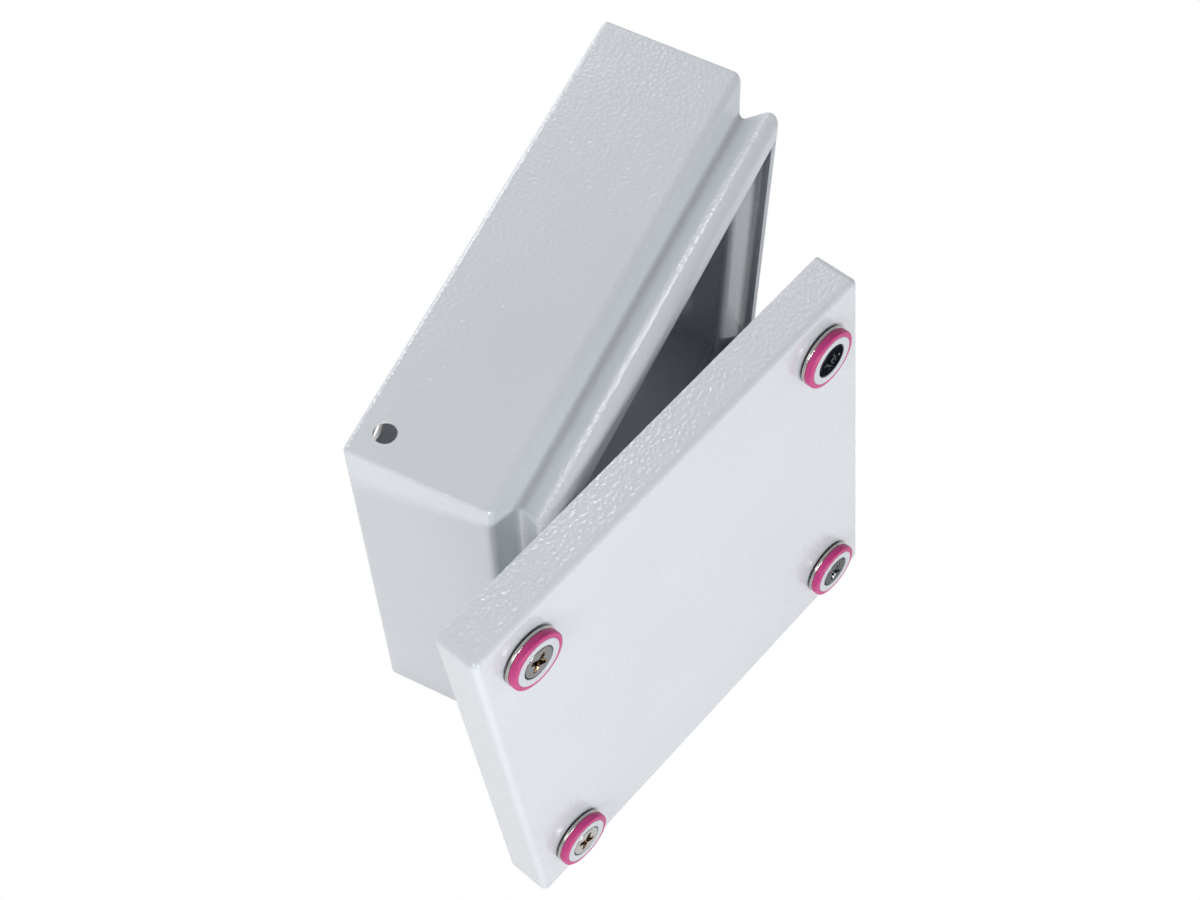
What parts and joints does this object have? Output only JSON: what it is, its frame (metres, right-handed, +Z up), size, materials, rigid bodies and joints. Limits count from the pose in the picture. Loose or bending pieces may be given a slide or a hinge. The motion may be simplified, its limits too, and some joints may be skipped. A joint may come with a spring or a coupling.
{
  "type": "installation enclosure",
  "caption": "Square sheet-steel installation enclosure with a rolled rim and rear fixing holes; the gasketed lid with its captive screws is off and leans on the box.",
  "frame": {"origin": "on the floor the box stands on, under the middle of its lower wall, midway between the rear panel and the front that the fitted lid would have", "axes": "+Z up, +X to the right when looking into the opening, -Y out of the opening, +Y out of the rear panel"},
  "size_m": [0.2553, 0.1526, 0.2],
  "materials": {
    "powder_coat": "fine textured",
    "zinc_plated_steel": "plated",
    "black_rubber": "matte",
    "gasket_foam": "matte foam",
    "grey_plastic": "satin",
    "white_plastic": "satin",
    "magenta_elastomer": "satin"
  },
  "bodies": {
    "enclosure": {"enclosure_body": "powder_coat", "corner_bracket_top_left": "powder_coat", "corner_bracket_top_right": "powder_coat", "corner_bracket_bottom_right": "powder_coat", "corner_bracket_bottom_left": "powder_coat", "rivet_nut_top_left": "zinc_plated_steel", "rivet_nut_top_right": "zinc_plated_steel", "rivet_nut_bottom_right": "zinc_plated_steel", "rivet_nut_bottom_left": "zinc_plated_steel", "earth_stud": "zinc_plated_steel", "earth_washer_lower": "zinc_plated_steel", "earth_nut_lower": "zinc_plated_steel", "earth_washer_upper": "zinc_plated_steel", "earth_nut_upper": "zinc_plated_steel", "lid": "powder_coat", "lid_gasket": "gasket_foam"},
    "stack_top_left": {"sealing_ring_top_left": "black_rubber", "pressure_washer_top_left": "zinc_plated_steel", "screw_bush_top_left": "grey_plastic", "marker_ring_top_left": "magenta_elastomer", "snap_ring_top_left": "zinc_plated_steel"},
    "screw_top_left": {"lid_screw_top_left": "zinc_plated_steel", "screw_clip_top_left": "white_plastic"},
    "stack_top_right": {"sealing_ring_top_right": "black_rubber", "pressure_washer_top_right": "zinc_plated_steel", "screw_bush_top_right": "grey_plastic", "marker_ring_top_right": "magenta_elastomer", "snap_ring_top_right": "zinc_plated_steel"},
    "screw_top_right": {"lid_screw_top_right": "zinc_plated_steel", "screw_clip_top_right": "white_plastic"},
    "stack_bottom_right": {"sealing_ring_bottom_right": "black_rubber", "pressure_washer_bottom_right": "zinc_plated_steel", "screw_bush_bottom_right": "grey_plastic", "marker_ring_bottom_right": "magenta_elastomer", "snap_ring_bottom_right": "zinc_plated_steel"},
    "screw_bottom_right": {"lid_screw_bottom_right": "zinc_plated_steel", "screw_clip_bottom_right": "white_plastic"},
    "stack_bottom_left": {"sealing_ring_bottom_left": "black_rubber", "pressure_washer_bottom_left": "zinc_plated_steel", "screw_bush_bottom_left": "grey_plastic", "marker_ring_bottom_left": "magenta_elastomer", "snap_ring_bottom_left": "zinc_plated_steel"},
    "screw_bottom_left": {"lid_screw_bottom_left": "zinc_plated_steel", "screw_clip_bottom_left": "white_plastic"}
  },
  "joints": [
    {"name": "stack_slide_top_left", "type": "slide", "parent": "enclosure", "child": "stack_top_left", "axis": [-0.2666, -0.955, 0.1297], "range_m": [0, 0.00095]},
    {"name": "screw_turn_top_left", "type": "hinge", "parent": "stack_top_left", "child": "screw_top_left", "pos_m": [-0.12923, -0.04412, 0.17531], "axis": [-0.2666, -0.955, 0.1297], "continuous": true},
    {"name": "stack_slide_top_right", "type": "slide", "parent": "enclosure", "child": "stack_top_right", "axis": [-0.2666, -0.955, 0.1297], "range_m": [0, 0.00095]},
    {"name": "screw_turn_top_right", "type": "hinge", "parent": "stack_top_right", "child": "screw_top_right", "pos_m": [0.01813, -0.08527, 0.17531], "axis": [-0.2666, -0.955, 0.1297], "continuous": true},
    {"name": "stack_slide_bottom_right", "type": "slide", "parent": "enclosure", "child": "stack_bottom_right", "axis": [-0.2666, -0.955, 0.1297], "range_m": [0, 0.00095]},
    {"name": "screw_turn_bottom_right", "type": "hinge", "parent": "stack_bottom_right", "child": "screw_bottom_right", "pos_m": [0.0128, -0.10437, 0.0236], "axis": [-0.2666, -0.955, 0.1297], "continuous": true},
    {"name": "stack_slide_bottom_left", "type": "slide", "parent": "enclosure", "child": "stack_bottom_left", "axis": [-0.2666, -0.955, 0.1297], "range_m": [0, 0.00095]},
    {"name": "screw_turn_bottom_left", "type": "hinge", "parent": "stack_bottom_left", "child": "screw_bottom_left", "pos_m": [-0.13457, -0.06323, 0.0236], "axis": [-0.2666, -0.955, 0.1297], "continuous": true}
  ]
}
